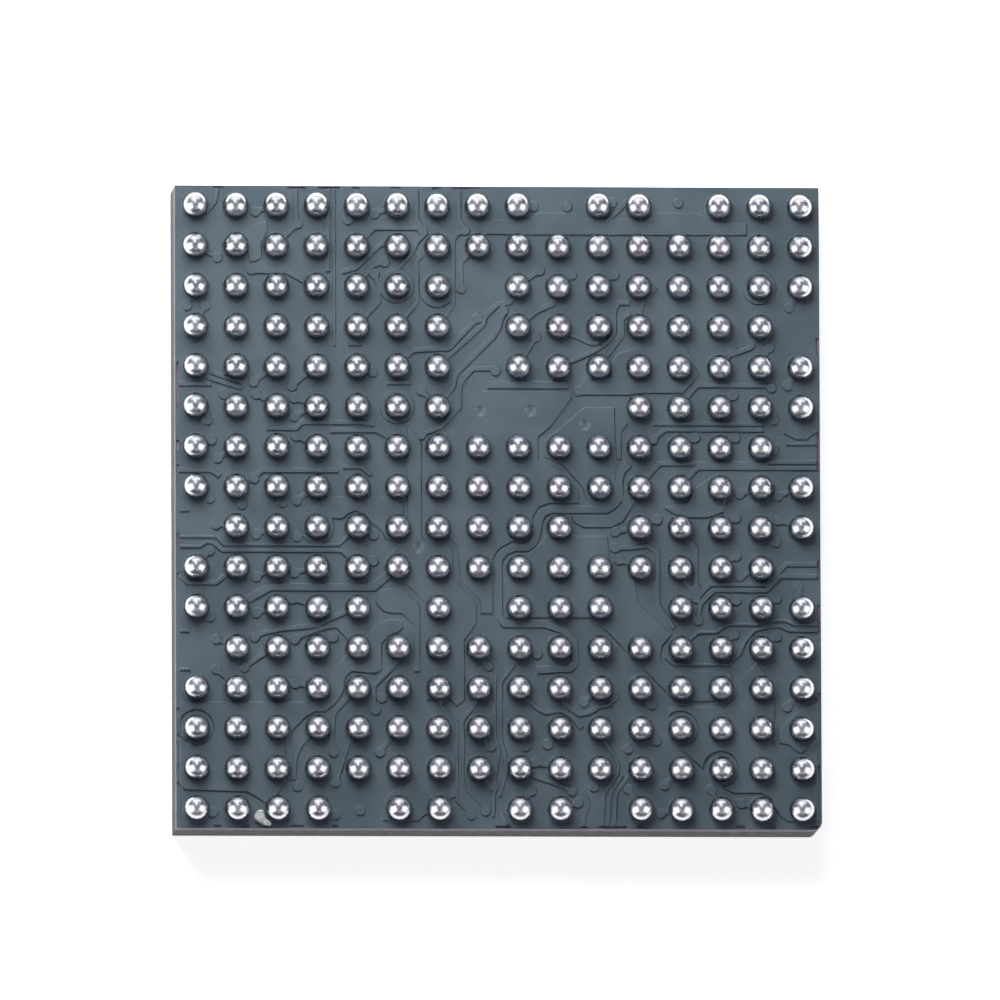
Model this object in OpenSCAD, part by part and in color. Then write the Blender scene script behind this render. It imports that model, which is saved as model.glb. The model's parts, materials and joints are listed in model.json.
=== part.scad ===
// BGA chip: ball grid array package, 16 x 16 grid with missing positions.
// It lies on the flat face of its mould, with the ball side up.
// Lengths are in mm. Routing is given in grid steps: [column, row], counted from the ball in the
// top left corner, columns to the right and rows down.

/* [Ball grid] */
// Distance from one ball to the next
pitch = 0.5; // [0.4:0.01:0.8]
// Balls along each side of the grid
grid_n = 16; // [16:1:18]
// From the centres of the outer balls to the edge of the body
edge_margin = 0.25; // [0.22:0.01:0.6]
// Diameter of a solder ball after reflow
ball_d = 0.32; // [0.24:0.01:0.36]
// Height of a ball above its pad
ball_stand = 0.245; // [0.2:0.005:0.28]
// Diameter of the opening in the solder mask round a ball
opening_d = 0.3; // [0.28:0.01:0.32]
// Diameter of the copper pad under a ball
pad_d = 0.33; // [0.32:0.01:0.37]

/* [Substrate] */
// Thickness of the glass-epoxy core
core_t = 0.18; // [0.1:0.01:0.4]
// Thickness of the copper on each side
copper_t = 0.025; // [0.01:0.001:0.026]
// Thickness of the solder mask on bare laminate
mask_t = 0.029; // [0.028:0.001:0.04]
// Thickness of the solder mask on copper
mask_over = 0.029; // [0.026:0.001:0.035]
// Radius of the worn corner of the substrate
corner_r = 0.1; // [0.02:0.01:0.3]
// Width of an ordinary trace
trace_w = 0.06; // [0.03:0.005:0.07]
// Width of a trace in the close runs
fine_w = 0.04; // [0.025:0.005:0.045]
// Width of a broad trace
wide_w = 0.1; // [0.07:0.005:0.12]
// Diameter of the land round a via
land_d = 0.13; // [0.11:0.01:0.18]
// Diameter of a plated via
via_d = 0.08; // [0.05:0.01:0.1]
// Width of the notches where the plating stubs were etched back
notch_w = 0.035; // [0.02:0.005:0.06]
// Distance of those notches from the edge
notch_inset = 0.012; // [0.005:0.001:0.03]
// Radius of the dimples over filled vias
dimple_r = 0.075; // [0.05:0.005:0.09]
// Depth of those dimples
dimple_deep = 0.022; // [0.004:0.001:0.024]

/* [Mould and die] */
// Height of the mould below the substrate
mould_h = 0.7; // [0.55:0.01:1.2]
// Length of the die
die_l = 4.2; // [2:0.1:4.6]
// Width of the die
die_w = 3.8; // [2:0.1:4.6]
// Thickness of the die
die_t = 0.25; // [0.1:0.01:0.3]
// Thickness of the adhesive film under the die
film_t = 0.025; // [0.01:0.005:0.05]
// Bond wires along each side of the die
wires_n = 16; // [4:1:20]
// Diameter of a bond wire
wire_d = 0.025; // [0.018:0.001:0.03]
// Height of a wire's loop over the die
loop_h = 0.11; // [0.06:0.01:0.16]
// Distance from the edge of the die to its row of bond pads
bond_inset = 0.09; // [0.06:0.01:0.15]
// Distance from the edge of the die to the row of bond fingers
finger_gap = 0.55; // [0.4:0.01:0.8]
// Length of a bond finger
finger_l = 0.3; // [0.2:0.01:0.5]
// Width of a bond finger
finger_w = 0.09; // [0.06:0.01:0.12]
// Distance from one bond finger to the next
finger_pitch = 0.2; // [0.16:0.01:0.25]

/* [Residue] */
// Thickness of the fleck of flux residue
fleck_t = 0.04; // [0.01:0.01:0.1]

/* [Hidden] */
$fn = 48;
eps = 0.01;
body_size = (grid_n - 1) * pitch + 2 * edge_margin;

// Levels, from the mould's flat face up
z_mask0 = mould_h;                 // die side of the lower mask
z_core = z_mask0 + mask_t;         // die side of the core
z_top = z_core + core_t;           // ball side of the core
z_mask = z_top + mask_t;           // mask between traces
z_ridge = z_top + copper_t + mask_over; // mask over traces
z_pad = z_top + copper_t;
z_die = z_mask0 - film_t - die_t;  // face of the die with the bond pads

// Missing ball positions, [column, row]
no_ball = [
  [9, 0], [12, 0], [7, 2], [7, 3], [15, 3], [7, 4], [7, 5], [8, 5], [9, 5], [10, 5], [15, 6],
  [0, 8], [10, 8], [15, 9], [5, 10], [7, 10], [11, 10], [0, 11], [4, 15], [7, 15], [10, 15]
];

// Vias joined to a ball by a short straight trace: [column and row of ball, of via]
stubs = [
  [2, 0, 1.5, 0.15], [4, 0, 3.8, 0.35], [5, 0, 4.45, 0.2], [8, 0, 8.4, 0], [10, 0, 10.35, -0.1],
  [0, 1, 0.55, 1.3], [2, 1, 2.55, 0.45], [0, 2, -0.2, 2.5], [8, 2, 8.55, 1.6], [9, 2, 9.35, 1.7],
  [10, 2, 10.4, 1.7], [15, 2, 14.75, 2.5], [0, 3, 0.25, 2.5], [2, 4, 1.45, 4.4],
  [3, 4, 2.4, 4.5], [4, 4, 4.4, 4.15], [8, 4, 8.45, 3.25], [10, 4, 9.5, 4.6],
  [13, 4, 13.35, 3.6], [14, 4, 14.25, 3.5], [15, 4, 14.7, 4.45], [0, 5, 0.3, 5.35],
  [1, 5, 0.7, 4.7], [2, 5, 1.5, 4.7], [3, 5, 2.45, 4.8], [3, 5, 2.45, 5.25],
  [6, 5, 5.6, 4.6], [13, 5, 13.35, 4.7], [14, 5, 14.35, 5.3], [0, 6, 0.4, 5.85],
  [1, 6, 0.55, 6.3], [3, 6, 2.5, 5.75], [12, 6, 12.4, 5.75], [13, 6, 13.4, 5.75],
  [14, 6, 14.35, 6.05], [0, 7, 0.35, 7.3], [1, 7, 1.15, 7.45], [2, 7, 2.15, 7.4],
  [3, 7, 2.5, 7.35], [14, 7, 13.5, 7.15], [15, 7, 14.45, 7.2], [1, 8, 0.5, 7.95],
  [2, 8, 1.5, 8.2], [3, 8, 2.5, 8.25], [4, 8, 4.4, 8.2], [11, 8, 11.45, 7.8],
  [11, 8, 10.4, 8.1], [13, 8, 13.4, 7.75], [14, 8, 14.4, 8.35], [15, 8, 14.45, 7.8],
  [0, 9, 0.35, 8.6], [2, 9, 1.5, 9.25], [3, 9, 2.45, 9.15], [4, 9, 4.4, 8.85],
  [11, 9, 10.5, 8.8], [13, 9, 13.4, 8.7], [14, 9, 13.5, 9.2], [0, 10, 0.35, 10.25],
  [2, 10, 1.5, 10.15], [3, 10, 2.4, 9.8], [6, 10, 5.85, 10.5], [12, 10, 12.45, 10.3],
  [13, 10, 13.4, 9.8], [14, 10, 14.4, 9.75], [15, 10, 14.95, 9.45], [1, 11, 0.5, 10.8],
  [3, 11, 3.4, 10.75], [7, 11, 7.25, 11.45], [8, 11, 8.45, 11.15], [13, 11, 13.35, 10.65],
  [14, 11, 14.4, 10.7], [1, 12, 0.5, 11.55], [3, 12, 2.45, 11.9], [5, 12, 4.6, 12.25],
  [10, 12, 9.6, 12.35], [11, 12, 11.3, 12.4], [14, 12, 13.6, 12.25], [15, 12, 14.65, 12.45],
  [5, 13, 4.55, 13.6], [7, 13, 7.3, 13.45], [8, 13, 8.15, 13.45], [9, 13, 8.7, 13.4],
  [11, 13, 11.4, 13.3], [14, 13, 13.7, 12.5], [2, 14, 1.6, 14.2], [7, 14, 7.35, 14.45],
  [9, 14, 8.4, 13.85], [10, 14, 9.85, 14.45], [12, 14, 11.6, 14.4], [15, 14, 14.6, 13.65],
  [0, 15, 0.4, 15.1], [2, 15, 1.65, 14.65], [3, 15, 3.45, 15.15], [6, 15, 6.35, 14.6],
  [8, 15, 8.3, 14.55], [9, 15, 9.45, 14.85], [11, 15, 10.7, 14.5], [12, 15, 11.5, 15.1],
  [13, 15, 12.75, 14.5], [14, 15, 13.5, 14.85]
];

// Vias at the ends of longer traces
ends = [
  [1.4, 1.6], [5.65, 0.6], [4.7, 1.4], [4.45, 1.7], [6.7, 0.6], [6.6, 2.05], [12, -0.1],
  [9.25, 0], [7, 2.8], [7.65, 2.6], [1.45, 6.8], [14.3, 4.5], [11.35, 5.8], [5.6, 5.7],
  [10.4, 8.5], [12.4, 9.5], [12.4, 9.75], [1.45, 10.75], [2.45, 10.8], [1.2, 11.5],
  [4.45, 12.55], [3.4, 13.6], [2.5, 14.45], [3.45, 14.35], [4.05, 15.05], [6.8, 15.15],
  [7.15, 15.05], [9.3, 14.55], [10.7, 13.5], [0.3, 13.5], [7.45, 4.1], [10.35, 12.2], [5, 10.45]
];

// Column or row of a trace's end at a notch in the edge
e0 = (notch_inset + notch_w - edge_margin) / pitch;
e1 = grid_n - 1 - e0;

// Ordinary traces
traces = [
  [[0, 0], [0.3, 0.15], [0.5, -0.1], [0.55, e0]],
  [[2.55, 0.45], [2.5, 0.1], [2.5, e0]],
  [[3.3, e0], [3.3, 1.65]],
  [[4, 1], [4.2, 0.8], [4.45, 0.55], [5.6, 0.55]],
  [[5.5, e0], [5.5, 0.3], [5.65, 0.6]],
  [[5.75, 0.65], [5.5, 0.9], [5.4, 1.15], [5, 1.6], [5, 2]],
  [[4.7, 0.9], [4.4, 1.15], [4, 1.55], [3.65, 1.65]],
  [[4.65, 1.4], [4.4, 1.5], [4, 2]],
  [[4.45, 1.7], [4.55, 1.95], [4.55, 2.4], [4, 3]],
  [[5.65, 1.2], [5.5, 1.35], [5.5, 2.4], [5, 3]],
  [[6.7, 0.6], [6.5, 0.7], [6.4, 0.85], [6.4, 2.45], [6, 3]],
  [[6.55, e0], [6.55, 0.3], [6.7, 0.6]],
  [[7, 1], [6.6, 1.4], [6.6, 2]],
  [[8, 2], [7.8, 2.4], [7.5, 2.45], [7.2, 2.75], [7.15, 2.95], [6, 4]],
  [[7, 2.8], [6.3, 3.55], [5.4, 3.6], [5, 4]],
  [[7.65, 2.65], [7.55, 3], [7.4, 3.25], [6.45, 4.2], [6.4, 4.5], [6, 5]],
  [[9, 2], [8.85, 2.45], [8.5, 2.6], [8, 3]],
  [[10.8, 2.4], [10.5, 2.4], [10.4, 2.6], [10.4, 3.15], [10.2, 3.4], [9.9, 3.6], [9, 4]],
  [[10.8, 2.65], [10.6, 2.8], [10.6, 3.2], [10, 4]],
  [[9, 3], [9.35, 3.2], [9.8, 3.4], [10.05, 3.4]],
  [[11.45, 2], [11.1, 2.4], [11, 3]],
  [[10.75, -0.2], [10.6, 0], [10.15, 0.45]],
  [[14, 3], [13.8, 3.5], [13.4, 3.65]],
  [[0, 4], [0.35, 4.3], [1.15, 4.55]],
  [[0.4, 4.15], [0.65, 4.25], [1.15, 4.4]],
  [[e0, 4.45], [0.4, 4.45]],
  [[1.75, 5.55], [2.5, 5.55], [2.65, 5.4], [4.1, 5.4], [4.45, 5.45]],
  [[3.35, 5.6], [4.5, 5.6], [4.75, 5.75], [5, 6]],
  [[e0, 6.6], [0.4, 6.6], [0.6, 6.75]],
  [[1.45, 6.8], [1.65, 6.6], [3.55, 6.6]],
  [[3.65, 6.5], [4.1, 6.5], [4.35, 6.7]],
  [[4.75, 4.4], [5.35, 4.4]],
  [[7.45, 4.1], [7.3, 4.05], [6.9, 4.05], [6.65, 4.3], [6.55, 4.5], [6.55, 5], [6.1, 5.5], [5.6, 5.7]],
  [[12, 5], [12.45, 4.45], [14.2, 4.45]],
  [[11.35, 5.4], [14.1, 5.4]],
  [[11.35, 5.8], [11.65, 5.55], [14.1, 5.55]],
  [[11, 7], [11.2, 6.75], [11.5, 6.4], [14.1, 6.4], [14.25, 6.35], [e1, 6.35]],
  [[12, 7], [12.45, 6.5], [e1, 6.5]],
  [[10.7, 5.35], [10.5, 5.6], [10.5, 6.3]],
  [[10.4, 8.5], [10.75, 8.5], [11.2, 8.45], [11.45, 8.6], [11.45, 9.9], [11.85, 10.5]],
  [[12, 8], [12.4, 8.5], [12.4, 9.5]],
  [[12, 9], [12.4, 9.75]],
  [[e1, 8.9], [14.65, 8.9], [14.15, 9.4], [12.75, 9.4], [12.4, 9.75]],
  [[e1, 9.2], [14.5, 9.2], [14.15, 9.55], [12.85, 9.55], [12.5, 9.9], [12.45, 10.3]],
  [[1.45, 10.75], [1.65, 10.65], [2.1, 10.55], [3, 10.45], [3.3, 10.3], [4, 10]],
  [[2.45, 10.8], [2.65, 10.7], [3.2, 10.5], [3.5, 10.45], [4, 11]],
  [[e0, 9.2], [-0.2, 9.4], [0.5, 9.4], [1, 9]],
  [[2, 11], [1.55, 11.25], [1.2, 11.5]],
  [[4, 12], [3.6, 12.4], [3.4, 12.65], [3.35, 13.4], [3.4, 13.6]],
  [[3, 13], [2.6, 13.4], [2.45, 13.7], [2.4, 14.3]],
  [[4, 13], [3.75, 13.4], [3.6, 13.9], [3.45, 14.35]],
  [[5, 11], [4.9, 11.45], [4.4, 11.95], [4.4, 12.5]],
  [[9, 12], [9.25, 12.5], [9.5, 12.65], [9.75, 12.6], [10, 12.45], [10.25, 12.4], [10.35, 12.2]],
  [[8, 12], [8.45, 12.5], [8.65, 12.6], [9.05, 12.55], [9.3, 12.7], [9.55, 13]],
  [[8, 14], [8.4, 14.2], [9, 14.4], [9.3, 14.55]],
  [[15, 12], [15.2, 12.2], [e1, 12.2]],
  [[0, 13], [-0.2, 13.25], [e0, 13.25]],
  [[0, 14], [e0, 14]]
];

// Traces in the close runs
fine_traces = [
  [[3.45, e0], [3.45, 3.5]],
  [[e0, 8.25], [0.5, 8.25], [0.7, 8.45], [3.55, 8.45], [4, 8]],
  [[e0, 8.5], [0.1, 8.5], [0.25, 8.4], [0.4, 8.4], [0.65, 8.6], [3.6, 8.6], [4, 9]],
  [[e1, 10.4], [14.85, 10.4], [14.6, 10.3], [14.2, 10.3], [13.95, 10.4], [13.15, 10.4],
    [12.9, 10.6], [12.45, 10.6], [12, 11]],
  [[e1, 10.55], [14.7, 10.55], [14.5, 10.45], [14.25, 10.45], [14.05, 10.5], [13.85, 10.55],
    [13.6, 10.85], [13.5, 11.1], [13.2, 11.4], [11.85, 11.4], [11.6, 11.2]],
  [[14.6, 5.6], [14.9, 5.75], [15.15, 5.75], [15.35, 5.6]],
  [[14.65, 5.9], [e1, 5.9]],
  [[6, 12], [6.1, 12.5], [6.45, 12.85], [6.45, 14.8], [6.8, 15.15]],
  [[7, 12], [6.85, 12.5], [6.6, 12.8], [6.6, 14.4], [7.15, 15]],
  [[8, 11], [7.85, 11.45], [7.55, 11.85], [7.55, 13.3], [7.65, 13.6], [7.65, 14.2], [7.5, 14.7]],
  [[7.4, 11.7], [7.4, 13.2], [7.5, 13.6], [7.4, 14.2], [7.35, 15.2]],
  [[10, 13], [10.2, 13.4], [10.45, 13.9], [10.45, 14.1], [10.1, 14.6], [10.05, e1]],
  [[10.55, 14.15], [10.25, 14.6], [10.2, e1]],
  [[10.7, 14.2], [10.4, 14.6], [10.35, e1]],
  [[9.6, 14.55], [9.7, 14.75], [9.7, 14.95], [9.6, 15.15], [9.6, e1]],
  [[7.55, 15.1], [7.7, e1]],
  [[3.8, 3.45], [4.15, 3.45]],
  [[-0.4, 7.6], [-0.15, 7.6]],
  [[-0.4, 10.6], [-0.15, 10.6]],
  [[-0.4, 11.55], [-0.15, 11.55]],
  [[-0.3, 13.55], [-0.1, 13.55]]
];

// Broad traces
wide_traces = [
  [[1.45, 1.6], [2.25, 1.6], [2.45, 1.7], [3, 2]],
  [[1, 10], [1.3, 9.8], [1.85, 9.5], [4.4, 9.5], [5, 9]],
  [[10.75, 6.4], [10.55, 6.6], [10.5, 6.85], [10.5, 7.25], [10.4, 7.4], [10.2, 7.55], [8.8, 7.55],
    [8.6, 7.65], [8.5, 7.85], [8.45, 8.2], [8.35, 8.4], [8.2, 8.5], [7.9, 8.5], [7.65, 8.6],
    [7.5, 8.8], [7.5, 10.2], [7.65, 10.4], [8.65, 10.4], [9.1, 10.55], [9.35, 10.8], [9.4, 11.35],
    [9.25, 11.5], [8.45, 11.55]],
  [[7.25, 4.45], [9.25, 4.45]]
];

// Filled areas of copper
pours = [
  [[7.2, 0.35], [8.3, 0.3], [8.5, 0.15], [9.4, 0.15], [9.6, 0.3], [11.2, 0.3], [11.4, 0.15],
    [12.5, 0.15], [12.8, 0.35], [13.7, 0.4], [13.7, 0.7], [7.2, 0.7]],
  [[1.15, 0.7], [1.5, 0.45], [1.8, 0.4], [1.8, 0.65], [1.65, 0.95], [1.65, 1.3], [1.5, 1.4],
    [1.35, 1.4], [1.3, 1.1]],
  [[9.45, 4.7], [9.65, 4.35], [10.3, 4.25], [10.35, 3.85], [10.5, 3.65], [11, 3.5], [12.2, 3.5],
    [12.5, 4.2], [12.1, 4.65], [11.1, 4.65], [10.75, 4.7]],
  [[9.65, 5], [10.4, 5], [10.4, 7.3], [10.25, 7.45], [9.85, 7.45], [9.65, 7.25], [9.6, 7],
    [9.05, 6.4], [8.65, 6.25], [8.6, 5.85], [8.95, 5.6]],
  [[5.75, 5.8], [6.15, 5.7], [6.7, 5.15], [6.7, 4.55], [6.9, 4.25], [7.15, 4.6], [9.3, 4.6],
    [9.35, 4.75], [8.8, 5.5], [8.5, 5.75], [8.5, 6.35], [8.95, 6.5], [9.5, 7.1], [9.5, 7.4],
    [8.75, 7.4], [8.5, 7.5], [8.35, 7.75], [8.35, 8.2], [8.15, 8.35], [7.85, 8.35], [7.5, 8.55],
    [7.35, 8.8], [7.35, 10.15], [7.05, 10.15], [7.05, 9.85], [6.55, 9.35], [6.5, 8.45],
    [6.2, 8.2], [5.75, 8.2]],
  [[5.25, 5.4], [5.6, 5.9], [5.6, 8.25], [5.8, 8.5], [6.35, 8.5], [6.4, 9.3], [6.95, 9.9],
    [6.95, 10.4], [6.65, 10.8], [6.65, 12.3], [6.45, 12.45], [6.3, 12.3], [5.7, 12.3],
    [5.65, 9.85], [5.15, 9.35], [4.75, 9.25], [4.65, 8.9], [4.9, 8.55], [5.25, 8.15]],
  [[2.75, 7.6], [3.2, 7.25], [5.15, 7.25], [5.15, 8.05], [4.9, 8.35], [4.7, 8.3], [4.6, 8.1],
    [4.35, 7.9], [4.2, 7.7], [3.95, 7.6], [3.75, 7.7], [3.65, 7.8], [3.3, 7.8], [3.2, 7.65]],
  [[4.8, 10.3], [5, 10.3], [5.1, 10.4], [5.05, 10.6], [4.8, 10.7], [4.6, 10.9], [4.6, 11.55],
    [4.45, 11.65], [3.85, 11.6], [3.7, 11.75], [3.65, 12.1], [3.45, 12.4], [3.2, 12.6],
    [2.95, 12.6], [2.7, 12.75], [2.3, 13.15], [2.2, 13.5], [2.2, 14.4], [1.8, 14.95],
    [1.45, 14.7], [1.25, 14.6], [-0.3, 14.55], [-0.4, 14.4], [-0.4, 12.35], [2.85, 12.35],
    [3.1, 12.2], [3.3, 11.9], [3.35, 11.6], [3.7, 11.2], [4.35, 10.6], [4.5, 10.4]],
  [[7.65, 8.95], [7.8, 8.7], [8.25, 8.65], [8.6, 8.35], [8.65, 8.2], [10.2, 8.2], [10.3, 9.15],
    [10.9, 9.3], [10.95, 9.85], [11.8, 10.65], [11.55, 10.95], [11.5, 11.25], [11.8, 11.55],
    [13.2, 11.55], [13.3, 11.7], [13.25, 12], [13, 12.3], [12, 12.35], [11.75, 12.2],
    [10.1, 10.5], [9.85, 10.25], [7.7, 10.25]],
  [[4.45, 9.85], [4.5, 9.65], [4.65, 9.55], [5.05, 9.5], [5.2, 9.6], [5.55, 9.95], [5.55, 11.6],
    [5.4, 11.6], [5.4, 10.45], [5.1, 10.15], [4.85, 10.15], [4.65, 10.1], [4.5, 9.95]],
  [[5.3, 14.3], [4.8, 14.6], [4.6, 14.9], [4.6, 15.3], [5.5, 15.3], [5.65, 15.15], [5.9, 15.15],
    [5.9, 14.8], [5.5, 14.55]],
  [[11.6, 7.5], [12.2, 7.35], [12.45, 6.95], [12.95, 6.65], [13.15, 7], [13.1, 7.6],
    [12.7, 7.75], [12.2, 7.75], [11.85, 7.65]],
  [[10.8, 6.95], [10.9, 7.35], [10.6, 7.85], [10.3, 8], [9.6, 8], [9.35, 7.85], [9.3, 7.7],
    [10.25, 7.7], [10.55, 7.45], [10.65, 7]],
  [[14.85, 12.6], [15, 12.45], [15.4, 12.35], [15.4, 13.25], [15.15, 13.5], [15, 13.6],
    [14.85, 13.55], [14.7, 13.4], [14.45, 13.35], [14.4, 13.1], [14.6, 12.85]],
  [[13.9, 11.35], [14.1, 11.6], [14.35, 12.4], [14.3, 13.3], [14.4, 13.5], [14.6, 13.5],
    [14.75, 13.6], [15, 13.75], [15.25, 13.65], [15.4, 13.45], [15.4, 15.25], [14.65, 15.3],
    [14.5, 15.2], [14.35, 15], [14.25, 14.75], [14, 14.6], [13.3, 14.6], [13.1, 14.5],
    [12, 13.5], [11.75, 13.3], [11.65, 13], [11.75, 12.45], [13.1, 12.45], [13.4, 12.2],
    [13.45, 11.8]]
];

// Places where a pour keeps clear of a ball that is not on its net
clearances = [[0, 13], [12, 13], [13, 14]];
// Pads made wider than the rest, [column, row]
lobes = [[5, 2], [6, 2.1], [14, 2], [5, 5], [3, 8]];
lobe_d = 0.43;
clear_d = 0.44;

// Dimples over filled vias
dimples = [[7.05, 5.1], [8.3, 5.1], [9.65, 5.45], [5.5, 8.5]];

// Notches where plating stubs were etched back, along each side: [from, to]
notch_top = [[0.45, 0.7], [2.3, 2.75], [3.05, 3.6], [3.9, 4.1], [4.85, 5.1], [5.9, 6.1], [6.4, 7.1]];
notch_bottom = [[0.45, 0.6], [1.15, 1.3], [2.35, 2.65], [3.35, 3.5], [7.4, 7.8], [9.5, 9.7],
  [9.95, 10.65], [10.9, 11.1], [13.35, 13.6], [14.15, 14.35], [15.25, 15.4]];
notch_left = [[3.9, 5.1], [5.85, 6.1], [6.45, 6.7], [8.15, 8.6], [9.15, 9.35], [12.5, 12.75],
  [13.15, 13.35], [13.9, 14.05], [14.35, 14.55]];
notch_right = [[3.25, 3.65], [5.6, 6.6], [8.8, 9.3], [9.9, 10.6], [12.1, 12.3], [13.9, 14.1]];

// Where a grid position lies, in mm from the middle of the body
function at(p) = [(p[0] - (grid_n - 1) / 2) * pitch, ((grid_n - 1) / 2 - p[1]) * pitch];
function has_ball(c, r) = len([for (m = no_ball) if (m == [c, r]) 1]) == 0;
function vias() = concat(ends, [for (s = stubs) [s[2], s[3]]]);

// Outline of a trace of width w through the points, with mitred bends
function along(a, b) = (b - a) / norm(b - a);
function left(d) = [-d[1], d[0]];
function beside(pts, h) = [for (i = [0 : len(pts) - 1])
  let (d0 = i > 0 ? along(pts[i - 1], pts[i]) : along(pts[0], pts[1]),
       d1 = i < len(pts) - 1 ? along(pts[i], pts[i + 1]) : d0,
       m = left(d0) + left(d1))
  pts[i] + m * h / (m * left(d0))];
function backwards(l) = [for (i = [len(l) - 1 : -1 : 0]) l[i]];

// Every outline is listed anticlockwise
function doubled_area(l) = [for (i = [0 : len(l) - 1]) cross(l[i], l[(i + 1) % len(l)])]
  * [for (i = l) 1];
module outline(l) polygon(doubled_area(l) < 0 ? backwards(l) : l);

module trace(route, w) {
  pts = [for (p = route) at(p)];
  outline(concat(beside(pts, w / 2), backwards(beside(pts, -w / 2))));
}

// Everything etched in the ball-side copper, seen from above
module ball_side_pattern() {
  difference() {
    for (p = pours) outline([for (q = p) at(q)]);
    for (c = clearances) translate(at(c)) circle(d = clear_d);
  }
  for (t = traces) trace(t, trace_w);
  for (t = fine_traces) trace(t, fine_w);
  for (t = wide_traces) trace(t, wide_w);
  for (s = stubs) trace([[s[0], s[1]], [s[2], s[3]]], trace_w);
  for (v = vias()) translate(at(v)) circle(d = land_d);
  for (l = lobes) translate(at(l)) circle(d = lobe_d);
  for (r = [0 : grid_n - 1], c = [0 : grid_n - 1])
    if (has_ball(c, r)) translate(at([c, r])) circle(d = pad_d);
}

// The body from above, with its one worn corner
module body_outline() {
  h = body_size / 2;
  difference() {
    square(body_size, center = true);
    difference() {
      translate([h - corner_r, -h - eps]) square(corner_r + eps);
      translate([h - corner_r, -h + corner_r]) circle(corner_r);
    }
  }
}

module slab(z0, z1) translate([0, 0, z0]) linear_extrude(z1 - z0) children();

// One side's notches, on the side that lies towards -Y
module notches(list, flip) {
  for (n = list) {
    a = ((flip ? grid_n - 1 - n[1] : n[0]) - (grid_n - 1) / 2) * pitch;
    l = (n[1] - n[0]) * pitch;
    translate([a, -body_size / 2 + notch_inset, z_top - eps])
      cube([l, notch_w, z_ridge - z_top + 2 * eps]);
  }
}

module ball_openings() {
  for (r = [0 : grid_n - 1], c = [0 : grid_n - 1])
    if (has_ball(c, r)) translate(at([c, r])) circle(d = opening_d);
}

// Die side: bond fingers round the die, one for each wire
function finger_x(i) = (i - (wires_n - 1) / 2) * finger_pitch;
function die_half(side) = (side % 2 == 0 ? die_w : die_l) / 2;
function pad_step(side) = ((side % 2 == 0 ? die_l : die_w) - 0.6) / (wires_n - 1);
module each_side() for (side = [0 : 3]) rotate(90 * side) { $side = side; children(); }

module fingers() {
  each_side() for (i = [0 : wires_n - 1])
    translate([finger_x(i), -die_half($side) - finger_gap - finger_l / 2])
      square([finger_w, finger_l], center = true);
}

// Windows in the die-side mask over the bond fingers
module windows() {
  each_side()
    translate([0, -die_half($side) - finger_gap - finger_l / 2])
      square([wires_n * finger_pitch, finger_l + 0.08], center = true);
}

module die_side_pattern() {
  fingers();
  for (v = vias()) translate(at(v)) circle(d = land_d);
}

module wire(side, i) {
  x0 = (i - (wires_n - 1) / 2) * pad_step(side);
  a = [x0, -die_half(side) + bond_inset, z_die];
  b = [x0, -die_half(side) + bond_inset, z_die - loop_h];
  c = [finger_x(i), -die_half(side) - finger_gap - finger_l / 2, z_core - copper_t + wire_d];
  v = c - b;
  translate(b) cylinder(h = loop_h, d = wire_d);
  translate(a - [0, 0, 0.02]) cylinder(h = 0.02, d = 2.2 * wire_d);
  translate(b) sphere(d = 1.2 * wire_d);
  translate(b) rotate([0, acos(v[2] / norm(v)), atan2(v[1], v[0])])
    cylinder(h = norm(v), d = wire_d);
}

module wires() {
  difference() {
    for (side = [0 : 3]) rotate(90 * side) for (i = [0 : wires_n - 1]) wire(side, i);
    slab(z_core - copper_t, z_core + 1) square(body_size, center = true);
  }
}

module mould_cap() {
  color([0.1, 0.1, 0.11]) difference() {
    union() {
      slab(0, z_mask0) body_outline();
      slab(z_mask0 - eps, z_core) windows();
    }
    slab(z_core - copper_t, z_core + eps) die_side_pattern();
    translate([0, 0, (z_die + z_mask0 + eps) / 2])
      cube([die_l, die_w, z_mask0 + eps - z_die], center = true);
    wires();
  }
}

module silicon_die() {
  color([0.35, 0.36, 0.4]) translate([-die_l / 2, -die_w / 2, z_die]) cube([die_l, die_w, die_t]);
}

module die_attach_film() {
  color([0.75, 0.7, 0.55]) translate([-die_l / 2, -die_w / 2, z_die + die_t])
    cube([die_l, die_w, film_t]);
}

module bond_wires() {
  color([0.9, 0.7, 0.25]) wires();
}

module die_side_mask() {
  color([0.12, 0.3, 0.2]) slab(z_mask0, z_core) difference() {
    body_outline();
    windows();
    die_side_pattern();
  }
}

module die_side_copper() {
  color([0.85, 0.6, 0.3]) slab(z_core - copper_t, z_core) die_side_pattern();
}

module laminate_core() {
  color([0.7, 0.65, 0.45]) slab(z_core, z_top) difference() {
    body_outline();
    for (v = vias()) translate(at(v)) circle(d = via_d);
  }
}

module plated_vias() {
  color([0.85, 0.55, 0.3]) for (v = vias())
    translate([at(v)[0], at(v)[1], z_core]) cylinder(h = core_t, d = via_d);
}

module ball_side_copper() {
  color([0.85, 0.6, 0.3]) slab(z_top, z_pad) ball_side_pattern();
}

module ball_side_mask() {
  r = (dimple_r * dimple_r + dimple_deep * dimple_deep) / (2 * dimple_deep);
  color([0.36, 0.44, 0.47]) difference() {
    slab(z_top, z_ridge) difference() {
      body_outline();
      ball_openings();
    }
    slab(z_mask, z_ridge + eps) difference() {
      square(body_size + 1, center = true);
      ball_side_pattern();
    }
    slab(z_top - eps, z_pad) ball_side_pattern();
    for (d = dimples) translate([at(d)[0], at(d)[1], z_ridge - dimple_deep + r]) sphere(r);
    notches(notch_bottom, false);
    rotate(180) notches(notch_top, true);
    rotate(-90) notches(notch_left, false);
    rotate(90) notches(notch_right, true);
  }
}

module ball() {
  difference() {
    translate([0, 0, ball_stand - ball_d / 2]) sphere(d = ball_d);
    translate([-ball_d, -ball_d, -2 * ball_d]) cube(2 * ball_d);
  }
}

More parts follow.
